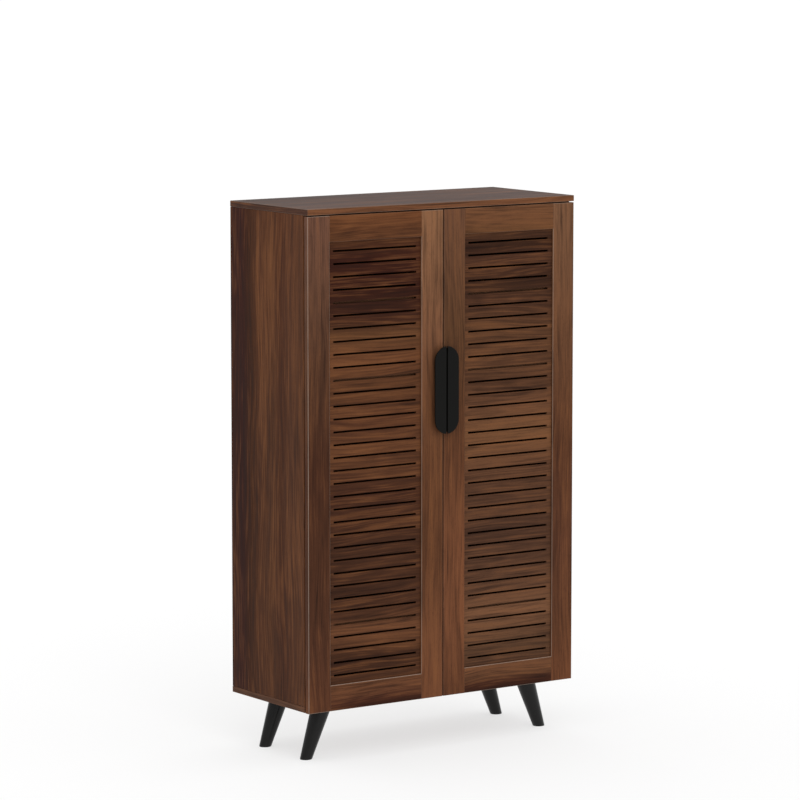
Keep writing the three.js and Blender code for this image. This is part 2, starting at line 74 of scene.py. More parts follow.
MM = 0.001
SIDES = {"left": -1, "right": 1}
HINGES = (1, 2, 3)
SHELVES = (1, 2, 3, 4, 5)
LEG_ROWS = ("front", "back")
FACET_ANGLE = math.radians(30)  # edges sharper than this stay crisp in the shading


def linear(hex_colour, alpha=1.0):
    """An sRGB hex value, such as 5e3f2c, as a linear colour."""
    channels = [int(hex_colour[i:i + 2], 16) / 255 for i in (0, 2, 4)]
    toned = [c / 12.92 if c <= 0.04045 else ((c + 0.055) / 1.055) ** 2.4 for c in channels]
    return (*toned, alpha)


def colour_property(name, description, hex_colour):
    return FloatVectorProperty(
        name=name, description=description, subtype="COLOR", size=4, min=0, max=1,
        default=linear(hex_colour),
    )


def length_property(name, description, millimetres, least=0):
    return FloatProperty(
        name=name, description=description, subtype="DISTANCE", unit="LENGTH", min=least,
        default=millimetres * MM,
    )


def grain_property(name, description, length, width):
    """A size along and across the grain, given in millimetres."""
    return FloatVectorProperty(
        name=name, description=description, unit="LENGTH", size=2, min=0,
        default=(length * MM, width * MM),
    )


def angle_property(name, description, degrees):
    return FloatProperty(
        name=name, description=description, subtype="ANGLE", unit="ROTATION",
        default=math.radians(degrees),
    )


def number_property(name, description, default):
    return FloatProperty(name=name, description=description, min=0, default=default)


# ---- Settings -----------------------------------------------------------------------------------


class WalnutSettings(bpy.types.PropertyGroup):
    """The printed walnut decor that faces every board."""

    light_streak: colour_property("Light streak", "Sapwood-side streaks in the figure", "8c5a36")
    dark_streak: colour_property("Dark streak", "Mineral streaks in the figure", "1b0e0a")
    # The arris colour is a painted highlight: it lightens the rounded edges where light would catch them.
    arris: colour_property("Arris", "Where trimming bares the edge band's paler core", "a08f82")
    band: grain_property("Band", "Broad bands of the figure", 480, 56)
    streak: grain_property("Streak", "Growth-ring streaks", 320, 12)
    line: grain_property("Line", "Fine lines between streaks", 130, 3.2)
    curl: grain_property("Curl", "Soft patches of curly figure", 46, 16)
    # Real pores are about 4 by 0.3 mm. They are drawn at three times that, so that they show.
    pore: grain_property("Pore", "Printed pore ticks", 11, 1.0)
    stray: grain_property("Stray", "One sideways stray of the streaks", 420, 160)
    wander: length_property("Wander", "How far a streak strays sideways", 26)
    flames: number_property("Flames", "Growth rings from pale to dark band", 9)
    roughness: number_property("Roughness", "Roughness of the melamine face", 0.5)


class EdgeSettings(bpy.types.PropertyGroup):
    """How softly edges are broken."""

    board: length_property("Board edges", "Rounding of the trimmed board edges", 0.35)
    slot: length_property("Slot edges", "Rounding of the routed slots", 0.3)
    metal: length_property("Metal edges", "Rounding of the small hinge parts", 0.3)
    handle: length_property("Handle edges", "Rounding of the handle's edges", 0.7)


class HandleSettings(bpy.types.PropertyGroup):
    """The folded steel half of the pull."""

    metal: length_property("Metal", "Thickness of the steel", 3)
    web_inset: length_property("Web inset", "Web is this much shorter at each end", 4)
    foot_inset: length_property("Foot inset", "Foot is this much shorter at each end", 13.5)
    foot: length_property("Foot", "Width of the foot on the door", 13)
    coat: colour_property("Coat", "Powder coat", "0b0a08")


class LegSettings(bpy.types.PropertyGroup):
    """The turned and splayed leg."""

    splay: angle_property("Splay", "Outward lean", 19.8)
    foot_radius: length_property("Foot radius", "Radius at the floor", 14.5)
    top_radius: length_property("Top radius", "Radius at the case's underside", 24.5)
    ease: length_property("Foot ease", "Rounding round the foot", 1.5)
    lacquer: colour_property("Lacquer", "Black lacquer over the turned wood", "0b0a09")
    plate_half: length_property("Plate", "Half the side of the square plate", 30)
    plate_metal: length_property("Plate metal", "Thickness of the plate", 2.5)
    stud_radius: length_property("Stud", "Radius of the threaded stud", 4)
    stud_length: length_property("Stud length", "How far the stud goes into the leg", 30)


class HingeSettings(bpy.types.PropertyGroup):
    """The concealed hinge: a cup in the door and a winged plate on the side panel."""

    cup_radius: length_property("Cup", "Radius of the cup", 17.5)
    cup_metal: length_property("Cup metal", "Thickness of the pressed cup", 0.8)
    flange: length_property("Flange", "Thickness of the cup's flange", 1)
    ear_half: length_property("Ear", "Half the width of the flange's ears", 13.5)
    ear_corner: length_property("Ear corner", "Corner radius of the ears", 6)
    cup_screw: length_property("Cup screw", "Screw from the cup's middle", 22.8)
    wing_half: length_property("Wing", "Half the width of the plate's wings", 7)
    wing_metal: length_property("Wing metal", "Thickness of the wings", 2)
    rider_half: length_property("Rider", "Half the height of the block the arm rides on", 4.25)
    plate_screw: length_property("Plate screw", "Screw from the plate's middle", 16)
    arm_screw: length_property("Arm screw", "Radius of the adjusting screws' heads", 3.1)


class HardwareSettings(bpy.types.PropertyGroup):
    """Screws, pins, caps and bumpers."""

    screw_radius: length_property("Screw head", "Radius of a chipboard screw's head", 3.4)
    screw_rise: length_property("Screw rise", "Height of a chipboard screw's head", 1.3)
    pin_radius: length_property("Shelf pin", "Radius of a shelf pin's head", 3.5)
    pin_reach: length_property("Shelf pin reach", "How far a shelf pin stands in", 8)
    pin_setback: length_property("Shelf pin setback", "Pin's middle from the shelf's edge", 37)
    cap_radius: length_property("Cap radius", "Radius of the caps over the case's cam fittings", 8.5)
    cap_setback: length_property("Cap setback", "Cap's middle from the side panel's end", 34)
    nail_radius: length_property("Nail head", "Radius of a back nail's head", 1.7)
    nail_spacing: length_property("Nail spacing", "Aimed distance between back nails", 120)
    bumper_radius: length_property("Bumper", "Radius of a door bumper", 4)


class StageSettings(bpy.types.PropertyGroup):
    """Camera, floor and light."""

    azimuth: angle_property("Azimuth", "Camera's turn round the cabinet", -34.8)
    elevation: angle_property("Elevation", "Camera's angle above level", 7.21)
    distance: length_property("Distance", "Camera to the point it looks at", 10072)
    aim_across: length_property("Aim across", "Looked-at point from the middle", -130.4, -10)
    aim_height: length_property("Aim height", "Looked-at point above the floor", 881.2)
    lens: number_property("Lens", "Focal length in millimetres", 185.36)
    floor: colour_property("Floor", "Pale studio floor", "9a9a9a")
    floor_glow: number_property("Floor glow", "Light through the floor", 0.64)
    sky_top: number_property("Overhead", "Strength of the overhead light", 1.12)
    sky_low: number_property("Horizon", "Strength of the light near level", 0.5)
    key: number_property("Key", "Strength of the soft key light", 0.55)
    key_spread: angle_property("Key spread", "Angular size of the key light", 38)
    key_azimuth: angle_property("Key azimuth", "Key light's turn round the cabinet", -20)
    key_elevation: angle_property("Key elevation", "Key light's angle above level", 40)


# ---- Shapes -------------------------------------------------------------------------------------


class Shape:
    """Vertices and faces gathered for one piece."""

    def __init__(self):
        self.vertices = []
        self.faces = []

    def loft(self, rings):
        """Skins a stack of rings that have the same number of points, and closes both ends."""
        first = len(self.vertices)
        count = len(rings[0])
        for ring in rings:
            self.vertices.extend(Vector(point) for point in ring)
        for level in range(len(rings) - 1):
            base = first + level * count
            for i in range(count):
                j = (i + 1) % count
                self.faces.append((base + i, base + j, base + count + j, base + count + i))
        last = first + (len(rings) - 1) * count
        self.faces.append(tuple(reversed(range(first, first + count))))
        self.faces.append(tuple(range(last, last + count)))
        return self

    def mirrored(self, side):
        """The shape itself on the left, and its mirror image across the middle on the right."""
        if side == "left":
            return self
        other = Shape()
        other.vertices = [Vector((-v.x, v.y, v.z)) for v in self.vertices]
        other.faces = [tuple(reversed(face)) for face in self.faces]
        return other

    def mesh(self, name):
        data = bpy.data.meshes.new(name)
        data.from_pydata([tuple(v) for v in self.vertices], [], self.faces)
        tidy = bmesh.new()
        tidy.from_mesh(data)
        bmesh.ops.recalc_face_normals(tidy, faces=tidy.faces)
        tidy.to_mesh(data)
        tidy.free()
        return data


def turned(shape, profile, centre, axis, segments=40, start=None):
    """Adds a turned form. profile holds (distance along the axis, radius) pairs, where a radius may be
    a function of the angle from start."""
    along = Vector(axis).normalized()
    side = Vector(start) if start else along.orthogonal().normalized()
    up = along.cross(side)
    rings = []
    for reach, radius in profile:
        ring = []
        for i in range(segments):
            angle = 2 * math.pi * i / segments
            r = radius(angle) if callable(radius) else radius
            spoke = side * math.cos(angle) + up * math.sin(angle)
            ring.append(Vector(centre) + along * reach + spoke * r)
        rings.append(ring)
    return shape.loft(rings)


def rounded_rectangle(half_width, half_height, corner, steps=6):
    """Points round a rectangle with round corners, about its middle."""
    points = []
    for quarter, (sx, sy) in enumerate(((1, 1), (-1, 1), (-1, -1), (1, -1))):
        for step in range(steps + 1):
            angle = math.pi / 2 * (quarter + step / steps)
            points.append((
                sx * (half_width - corner) + corner * math.cos(angle),
                sy * (half_height - corner) + corner * math.sin(angle),
            ))
    return points


def slab(shape, outline, position, spans):
    """Adds a flat plate: position turns an outline point and a height into a point in space."""
    return shape.loft([[position(a, b, height) for a, b in outline] for height in spans])


def cross_recess(radius):
    """Radius by angle of the cross slot in a screw head."""
    arm = 0.56 * radius
    half_width = 0.17 * radius

    def edge(angle):
        off = (angle + math.pi / 4) % (math.pi / 2) - math.pi / 4
        return min(arm / math.cos(off), half_width / max(abs(math.sin(off)), 1e-6))

    return edge


def screw_head(shape, centre, axis, radius, rise):
    """Adds a low pan head with a cross slot, its seat at centre."""
    slot = cross_recess(radius)
    crown = 0.35 * rise
    profile = [
        (0, radius * 0.94), (0.25 * rise, radius), (rise - crown, radius * 0.97),
        (rise - 0.4 * crown, radius * 0.86), (rise, radius * 0.66),
        (rise, slot), (0.35 * rise, lambda angle: slot(angle) * 0.9),
    ]
    return turned(shape, profile, centre, axis, segments=48)


# ---- Pieces -------------------------------------------------------------------------------------


def merged(name, base, added):
    """One closed mesh: base with the added shapes joined on."""
    body = bpy.data.objects.new(name, base.mesh(name))
    bpy.context.scene.collection.objects.link(body)
    tools = []
    for shape in added:
        tool = bpy.data.objects.new(f"{name}_tool", shape.mesh(f"{name}_tool"))
        bpy.context.scene.collection.objects.link(tool)
        tools.append(tool)
        join = body.modifiers.new("Join", "BOOLEAN")
        join.operation = "UNION"
        join.solver = "EXACT"
        join.object = tool
    bpy.context.view_layer.update()
    made = bpy.data.meshes.new_from_object(body.evaluated_get(bpy.context.evaluated_depsgraph_get()))
    made.name = name
    for item in (*tools, body):
        bpy.data.objects.remove(item)
    return made


def eased(piece, width, segments=2):
    """Rounds a piece's sharp edges."""
    bevel = piece.modifiers.new("Eased edges", "BEVEL")
    bevel.width = width
    bevel.segments = segments
    bevel.limit_method = "ANGLE"
    bevel.angle_limit = FACET_ANGLE
    bevel.miter_outer = "MITER_ARC"
    return bevel


def place(name, shape, material, body, replaces=(), ease=None):
    """Makes a piece from a shape or mesh, with its finish and body."""
    data = shape if isinstance(shape, bpy.types.Mesh) else shape.mesh(name)
    data.name = name
    data.materials.clear()
    data.materials.append(material)
    data.shade_smooth()
    data.set_sharp_from_angle(angle=FACET_ANGLE)
    piece = bpy.data.objects.new(name, data)
    bpy.context.scene.collection.objects.link(piece)
    if ease:
        eased(piece, ease).harden_normals = True
    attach(piece, body)
    if replaces:
        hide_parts(*replaces)


def dressed(name, material, ease):
    """Gives a frame node its finish and breaks its edges."""
    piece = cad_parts[name]
    piece.data.materials.clear()
    piece.data.materials.append(material)
    weld = piece.modifiers.new("Shared corners", "WELD")
    weld.merge_threshold = 0.01 * MM
    eased(piece, ease)


def box_and_middle(name):
    """A frame node's lowest and highest corners, and its middle."""
    low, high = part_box(name)
    return low, high, (low + high) / 2


def faced(name, grain, seed, drift_axis, drift, ease, span=None, **tuning):
    """Faces a board with walnut whose tone drifts over span, or else from side to side of the board."""
    low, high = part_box(name)
    axis = "XYZ".index(drift_axis)
    span = span or (low[axis], high[axis])
    dressed(name, walnut(f"walnut_{name}", grain, seed, drift_axis, span, drift, **tuning), ease)


# ---- Finishes -----------------------------------------------------------------------------------


def node(tree, kind, inputs=(), stops=None, **settings):
    """Adds a shader node with its settings. inputs are values or links, listed from the first socket on
    or held by socket. stops are a ramp's (place, colour) pairs."""
    made = tree.nodes.new("ShaderNode" + kind)
    for name, value in settings.items():
        setattr(made, name, value)
    if stops:
        ramp = made.color_ramp.elements
        ramp[0].position, ramp[0].color = stops[0]
        ramp[-1].position, ramp[-1].color = stops[-1]
        for position, colour in stops[1:-1]:
            ramp.new(position).color = colour
    for socket, value in inputs.items() if isinstance(inputs, dict) else enumerate(inputs):
        if isinstance(value, bpy.types.NodeSocket):
            tree.links.new(value, made.inputs[socket])
        else:
            made.inputs[socket].default_value = value
    return made.outputs


def material_tree(name):
    """A new material and its empty node tree."""
    material = bpy.data.materials.new(name)
    material.use_nodes = True
    material.node_tree.nodes.clear()
    return material, material.node_tree


def close_material(tree, inputs):
    """Ends a material in one Principled surface."""
    surface = node(tree, "BsdfPrincipled", inputs)
    node(tree, "OutputMaterial", {"Surface": surface[0]})


# Walnut's figure from broad to fine: its size in the settings, then offset, detail and weight.
WALNUT_FIGURE = (
    ("band", 1.7, 2, 1.0),
    ("streak", 5.2, 3, 0.9),
    ("line", 9.4, 2, 1.3),
    ("curl", 11.6, 2, 0.3),
)
FLAME_WEIGHT = 0.08
ACROSS = 0.8  # a face looks along an axis when its normal's share of that axis is above this


def walnut(name, grain, seed, drift_axis, span, drift, climb=None, contrast=1.0, arris=0.0,
           sheen=0.06, band=None):
    """Walnut-print melamine on particle board, pressed satin: the eye gets long meandering streaks,
    fine ticks of pores and a low soft sheen, and a painted highlight along the rounded edges.

    grain is the axis the figure runs along. drift is a slow change of tone, as (share, hex) stops along
    drift_axis over span: the board's own tone, with painted light on the door parts, which are lighter
    towards the top. climb is painted light: a brightness at the bottom, middle and top, highest at the
    top. sheen is the strength of the clear reflection. band is the tone of the edge band on the front.
    """
    look = bpy.context.scene.cabinet_walnut
    material, tree = material_tree(name)
    coordinates = node(tree, "TexCoord")
    x, y, z = node(tree, "SeparateXYZ", [coordinates["Object"]])
    sizes = node(tree, "VectorMath", [coordinates["Normal"]], operation="ABSOLUTE")[0]
    nx, ny, nz = node(tree, "SeparateXYZ", [sizes])

    # On the faces across the grain the edge band's figure runs along the edge instead.
    run, first, second, facing_end = (x, y, z, nx) if grain == "X" else (z, x, y, nz)
    is_end = node(tree, "Math", (facing_end, ACROSS), operation="GREATER_THAN")[0]
    round_edge = node(tree, "Math", (first, second), operation="ADD")[0]
    along = node(tree, "Mix", {0: is_end, 2: run, 3: first}, data_type="FLOAT")[0]
    across = node(tree, "Mix", {0: is_end, 2: round_edge, 3: second}, data_type="FLOAT")[0]

    def streaks(size, offset, detail, sideways):
        """Noise drawn out along the grain, at its own offset."""
        far = node(tree, "Math", (along, size[0]), operation="DIVIDE")[0]
        wide = node(tree, "Math", (sideways, size[1]), operation="DIVIDE")[0]
        vector = node(tree, "CombineXYZ", (far, wide, seed + offset))[0]
        return node(tree, "TexNoise", {"Vector": vector, "Scale": 1, "Detail": detail})[0]

    stray = streaks(look.stray, 0.31, 1, across)
    stray = node(tree, "Math", (stray, 0.5), operation="SUBTRACT")[0]
    shift = node(tree, "Math", (stray, 2 * look.wander), operation="MULTIPLY")[0]
    bent = node(tree, "Math", (across, shift), operation="ADD")[0]
    layers = {}
    figure = 0.0
    for layer, offset, detail, weight in WALNUT_FIGURE:
        layers[layer] = streaks(getattr(look, layer), offset, detail, bent)
        share = node(tree, "Math", (layers[layer], 0.5), operation="SUBTRACT")[0]
        figure = node(tree, "Math", (share, weight * contrast, figure), operation="MULTIPLY_ADD")[0]
    pores = streaks(look.pore, 14.1, 1, bent)

    # Contour lines of the broad bands are the pointed flames of a board cut near the log's middle.
    turns = node(tree, "Math", (layers["band"], 2 * math.pi * look.flames), operation="MULTIPLY")[0]
    flames = node(tree, "Math", [turns], operation="SINE")[0]
    figure = node(tree, "Math", (flames, FLAME_WEIGHT * contrast, figure), operation="MULTIPLY_ADD")[0]

    place_on_board = {"X": x, "Y": y, "Z": z}[drift_axis]
    drifted = node(tree, "Math", (shift, 0.6, place_on_board), operation="MULTIPLY_ADD")[0]
    share = node(tree, "MapRange", (drifted, *span))[0]
    colour = node(tree, "ValToRGB", [share], [(s, linear(h)) for s, h in drift])[0]
    if band:
        on_front = node(tree, "Math", (ny, ACROSS), operation="GREATER_THAN")[0]
        colour = node(tree, "Mix", {0: on_front, 6: colour, 7: linear(band)}, data_type="RGBA")[2]
    if climb:
        # Painted light by height: the board is made lighter towards the top. The ramp holds half the
        # brightness, so that it stays below one. It is doubled after it.
        levels = [(s, (level / 2, level / 2, level / 2, 1)) for s, level in zip((0.1, 0.5, 1), climb)]
        share = node(tree, "MapRange", (z, CAD_BOX[0].z, CAD_BOX[1].z))[0]
        for gain in (node(tree, "ValToRGB", [share], levels)[0], (2, 2, 2, 1)):
            colour = node(
                tree, "Mix", {0: 1, 6: colour, 7: gain}, data_type="RGBA", blend_type="MULTIPLY"
            )[2]

    shares = []
    for gain, most in ((-1.6, 0.85), (1.1, 0.8)):
        depth = node(tree, "Math", (figure, gain), operation="MULTIPLY", use_clamp=True)[0]
        shares.append(node(tree, "Math", (depth, most), operation="MULTIPLY")[0])
    tick = node(tree, "MapRange", (pores, 0.6, 0.72, 0, 0.3))[0]

    # The arris between two faces is where the absolute normal's largest part falls short of one.
    # There the colour is lightened with the arris colour: a painted highlight.
    flatness = node(tree, "Math", (ny, nz), operation="MAXIMUM")[0]
    flatness = node(tree, "Math", (nx, flatness), operation="MAXIMUM")[0]
    arris_highlight = node(tree, "MapRange", (flatness, 0.97, 0.8, 0, arris))[0]
    patches = node(tree, "MapRange", (layers["line"], 0.2, 0.6, 0.75, 1))[0]
    shares += [tick, node(tree, "Math", (arris_highlight, patches), operation="MULTIPLY")[0]]
    for share, over in zip(shares, (look.dark_streak, look.light_streak, look.dark_streak, look.arris)):
        colour = node(tree, "Mix", {0: share, 6: colour, 7: over[:]}, data_type="RGBA")[2]

    ridges = node(tree, "Math", (layers["line"], 0.5), operation="MULTIPLY")[0]
    height = node(tree, "Math", (ridges, tick), operation="SUBTRACT")[0]
    normal = node(tree, "Bump", {"Strength": 0.25, "Distance": 0.1 * MM, "Height": height})[0]
    low, high = look.roughness - 0.06, look.roughness + 0.06
    roughness = node(tree, "MapRange", (layers["streak"], 0.2, 0.8, low, high))[0]
    close_material(tree, {
        "Base Color": colour, "Roughness": roughness, "Specular IOR Level": sheen, "Normal": normal,
    })
    return material


def mottled(name, colour, shade, grit, roughness, spread, stretch=(1, 1, 1), bump=0.02, extras=None):
    """A finish with a fine mottle, grit metres wide: from shade to colour, and spread either way in
    roughness. bump is its height in millimetres."""
    if name in bpy.data.materials:
        return bpy.data.materials[name]
    material, tree = material_tree(name)
    coordinates = node(tree, "TexCoord")["Object"]
    stretched = node(tree, "VectorMath", (coordinates, stretch), operation="MULTIPLY")[0]
    grain = node(tree, "TexNoise", {"Vector": stretched, "Scale": 1 / grit, "Detail": 3})[0]
    cloud = node(tree, "TexNoise", {"Vector": stretched, "Scale": 0.06 / grit, "Detail": 2})[0]
    level = node(tree, "Math", (grain, cloud), operation="ADD")[0]
    share = node(tree, "MapRange", (level, 0.7, 1.3))[0]
    tint = node(tree, "Mix", {0: share, 6: shade, 7: colour}, data_type="RGBA")[2]
    sheen = node(tree, "MapRange", (level, 0.7, 1.3, roughness - spread, roughness + spread))[0]
    normal = node(tree, "Bump", {"Strength": 0.4, "Distance": bump * MM, "Height": grain})[0]
    close_material(tree, {"Base Color": tint, "Roughness": sheen, "Normal": normal, **(extras or {})})
    return material


def powder_coated_steel():
    """Polyester powder coat, oven-cured: matt black with a faint orange peel. The peel is about 1 mm
    from crest to crest, drawn at 1.6 mm so that it shows."""
    coat = bpy.context.scene.cabinet_handle.coat[:]
    return mottled(
        "powder_coated_steel", coat, linear("080706"), 1.6 * MM, 0.5, 0.05, bump=0.06,
        extras={"Specular IOR Level": 0.11},
    )


def black_lacquered_beech():
    """Turned beech under sprayed black lacquer: a satin bar of light along the leg, with the grain
    just telegraphing through as 1 mm lines along it."""
    lacquer = bpy.context.scene.cabinet_leg.lacquer[:]
    return mottled(
        "black_lacquered_beech", lacquer, linear("090807"), 1.2 * MM, 0.3, 0.05, (1, 1, 0.06), 0.03,
        extras={"Specular IOR Level": 0.26},
    )


def nickel_plated_steel():
    """Pressed steel, barrel-nickelled: warm grey, half mirror, with soft tumbling marks."""
    return mottled(
        "nickel_plated_steel", linear("c9c4ba"), linear("a8a49b"), 1.5 * MM, 0.27, 0.06,
        extras={"Metallic": 1.0},
    )


def zinc_plated_steel():
    """Bright zinc, blue passivated: dull grey metal, slightly cloudy."""
    return mottled(
        "zinc_plated_steel", linear("b4b6b8"), linear("8f9091"), 1.2 * MM, 0.4, 0.08,
        extras={"Metallic": 1.0},
    )


def printed_hardboard():
    """Wet-process hardboard, brown print on it: matt, with a felted fibre mottle of about 2 mm."""
    return mottled(
        "printed_hardboard", linear("5f402e"), linear("523626"), 2.2 * MM, 0.74, 0.06, (1, 1, 0.5), 0.05,
        extras={"Specular IOR Level": 0.15},
    )


def brown_abs():
    """Injection-moulded ABS in walnut brown: even and satin. Its spark-eroded texture is about 0.2 mm,
    drawn at 0.9 mm so that it shows."""
    return mottled("brown_abs", linear("4a3024"), linear("3c261c"), 0.9 * MM, 0.45, 0.04)


def grey_silicone():
    """Moulded silicone: milky grey and soft-looking, faintly glossy."""
    return mottled(
        "grey_silicone", linear("b6b7b5"), linear("9fa09e"), 2 * MM, 0.35, 0.05,
        extras={"Subsurface Weight": 0.2, "Subsurface Scale": 1 * MM},
    )


# ---- Operators ----------------------------------------------------------------------------------


# A board's slow change of tone from front to back, then each door part's from its foot to its top.
# The stiles' and rails' tones also hold painted light: they grow lighter towards the top.
SIDE_TONES = (
    (0, "53311c"), (0.2, "4d2c19"), (0.3, "442310"), (0.42, "4d2c17"), (0.6, "492814"),
    (0.72, "3c1e0a"), (0.84, "31120a"), (1, "33160a"),
)
TOP_TONES = ((0, "47291b"), (0.5, "432719"), (1, "3c2216"))
SHELF_TONES = ((0, "5d3e2c"), (1, "573a2a"))
STILE_TONES_AND_LIGHT = {
    "left_door_hinge_stile": (
        (0, "573422"), (0.12, "503020"), (0.3, "4f2f1e"), (0.5, "442719"), (0.7, "533524"),
        (0.86, "614130"), (1, "694737"),
    ),
    "left_door_meeting_stile": (
        (0, "6d432b"), (0.12, "6c432b"), (0.3, "5a3722"), (0.5, "5b3823"), (0.75, "754e36"),
        (1, "855d41"),
    ),
    "right_door_meeting_stile": (
        (0, "5a3622"), (0.15, "73472e"), (0.3, "72462d"), (0.5, "5c3823"), (0.75, "573924"),
        (1, "63422f"),
    ),
    "right_door_hinge_stile": (
        (0, "683f28"), (0.12, "5f3a25"), (0.3, "5d3825"), (0.5, "52311f"), (0.75, "69452e"),
        (1, "76523a"),
    ),
}
PANEL_TONES = {
    "left": (
        (0, "4d2f1e"), (0.05, "3b2215"), (0.12, "664029"), (0.17, "45291a"), (0.3, "45291a"),
        (0.42, "432618"), (0.5, "53321f"), (0.6, "54321f"), (0.67, "573520"), (0.74, "643d25"),
        (0.79, "5b3a23"), (0.82, "3f2215"), (0.88, "34180e"), (0.96, "38190f"), (1, "4a2b19"),
    ),
    "right": (
        (0, "563927"), (0.03, "543927"), (0.12, "724d35"), (0.18, "593b29"), (0.3, "4d3223"),
        (0.41, "533625"), (0.46, "62402b"), (0.54, "6e492f"), (0.6, "62402b"), (0.66, "563724"),
        (0.78, "573824"), (0.84, "4c2f1f"), (0.88, "3d2416"), (0.94, "472b1d"), (0.97, "371f12"),
        (1, "4d301f"),
    ),
}
RAIL_TONES_AND_LIGHT = {
    "left_door_top_rail": ((0, "56341f"), (0.5, "5c3720"), (1, "6a4025")),
    "right_door_top_rail": ((0, "634027"), (0.5, "68432b"), (1, "70492f")),
    "left_door_bottom_rail": ((0, "3a1d11"), (0.28, "48281b"), (0.5, "623c27"), (1, "6a432b")),
    "right_door_bottom_rail": ((0, "361a0f"), (0.28, "432518"), (0.5, "5e3c27"), (1, "66422c")),
}
# How strongly the painted highlight shows on the door parts whose arrises face the light most.
ARRIS_HIGHLIGHT = {
    "left_door_hinge_stile": 0.65,
    "left_door_meeting_stile": 0.4,
    "right_door_hinge_stile": 0.4,
    "left_door_bottom_rail": 0.6,
    "right_door_bottom_rail": 0.6,
}


class CABINET_OT_boards(bpy.types.Operator):
    """Finish the case's boards, shelves and back panel"""

    bl_idname = "cabinet.boards"
    bl_label = "Case Boards"

    def execute(self, context):
        ease = context.scene.cabinet_edges.board
        # The side panels' climb paints light by height: lighter near the top.
        for name, seed in (("left_side", 3.0), ("right_side", 41.0)):
            faced(name, "Z", seed, "Y", SIDE_TONES, ease, climb=(1.0, 0.95, 1.2), contrast=0.9)
        # The top panel's arris value is the strength of a painted highlight on its edges.
        faced("top_panel", "X", 12.0, "Y", TOP_TONES, ease, arris=0.5, sheen=0.1, band="6e452b")
        faced("bottom_panel", "X", 17.0, "Y", SHELF_TONES, ease)
        for i in SHELVES:
            faced(f"shelf_{i}", "X", 50.0 + 7 * i, "Y", SHELF_TONES, ease, band="8a6248")
        dressed("back_panel", printed_hardboard(), ease)
        return {"FINISHED"}


class CABINET_OT_doors(bpy.types.Operator):
    """Finish the door frames and the slotted panels"""

    bl_idname = "cabinet.doors"
    bl_label = "Doors"

    def execute(self, context):
        edges = context.scene.cabinet_edges
        # Door parts outside the table get a faint painted highlight on their arrises.
        faint = 0.1
        for grain, first, contrast, parts in (("Z", 70.5, 0.8, STILE_TONES_AND_LIGHT), ("X", 120.0, 1.0, RAIL_TONES_AND_LIGHT)):
            for i, (name, tones) in enumerate(parts.items()):
                arris = ARRIS_HIGHLIGHT.get(name, faint)
                seed = first + 9 * i
                faced(name, grain, seed, "Z", tones, edges.board, contrast=contrast, arris=arris)
        for seed, (side, tones) in enumerate(PANEL_TONES.items()):
            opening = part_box(f"{side}_door_bottom_rail")[1].z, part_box(f"{side}_door_top_rail")[0].z
            name = f"{side}_door_louvre_panel"
            faced(name, "X", 160.0 + 9 * seed, "Z", tones, edges.slot, opening, contrast=0.9)
        return {"FINISHED"}


class CABINET_OT_handles(bpy.types.Operator):
    """Make both halves of the pull and their screws"""

    bl_idname = "cabinet.handles"
    bl_label = "Handles"

    def execute(self, context):
        look = context.scene.cabinet_handle
        low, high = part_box("left_handle")
        coat = powder_coated_steel()
        zinc = zinc_plated_steel()
        for side in SIDES:
            node_name = f"{side}_handle"
            plate = self.plate(low, high, look.metal)
            folds = [fold.mirrored(side) for fold in self.folds(low, high, look)]
            mesh = merged(node_name, plate.mirrored(side), folds)
            place(
                f"{node_name}_pull", mesh, coat, f"{side}_door", [node_name],
                ease=context.scene.cabinet_edges.handle,
            )
            for i in (1, 2):
                self.screw(side, i, zinc)
        return {"FINISHED"}

    def plate(self, low, high, metal):
        """Half of an upright stadium, cut straight beside the gap between the doors."""
        radius = -low.x
        edge = -high.x
        rise = math.sqrt(radius ** 2 - edge ** 2)
        start = math.acos(edge / radius)
        steps = 28
        outline = []
        for centre, sign in ((high.z - rise, 1), (low.z + rise, -1)):
            for step in range(steps + 1):
                share = step / steps if sign > 0 else 1 - step / steps
                turn = start * (1 - share)
                outline.append((-radius * math.cos(turn), centre + sign * radius * math.sin(turn)))
        spans = (low.y, low.y + metal)
        return slab(Shape(), outline, lambda a, b, height: (a, height, b), spans)

    def folds(self, low, high, look):
        """The web, which stands behind the plate's straight edge, and the foot, screwed to the door."""
        edge, back, metal = high.x, high.y, look.metal
        web = (
            (edge, low.y + metal / 2), (edge, back),
            (edge - metal, back), (edge - metal, low.y + metal / 2),
        )
        foot = (
            (edge - metal / 2, back), (edge - look.foot, back),
            (edge - look.foot, back - metal), (edge - metal / 2, back - metal),
        )
        for outline, inset in ((web, look.web_inset), (foot, look.foot_inset)):
            spans = (low.z + inset, high.z - inset)
            yield slab(Shape(), outline, lambda a, b, height: (a, b, height), spans)

    def screw(self, side, index, zinc):
        """A machine screw from the door's back into the foot."""
        node_name = f"{side}_handle_screw_{index}"
        low, high, centre = box_and_middle(node_name)
        radius = (high.x - low.x) / 2
        rise = 2.2 * MM
        shape = Shape()
        shank = [(0, radius / 2), (high.y - rise - low.y, radius / 2)]
        turned(shape, shank, (centre.x, low.y, centre.z), (0, 1, 0))
        screw_head(shape, (centre.x, high.y - rise, centre.z), (0, 1, 0), radius, rise)
        place(node_name + "_fixing", shape, zinc, f"{side}_door", [node_name])


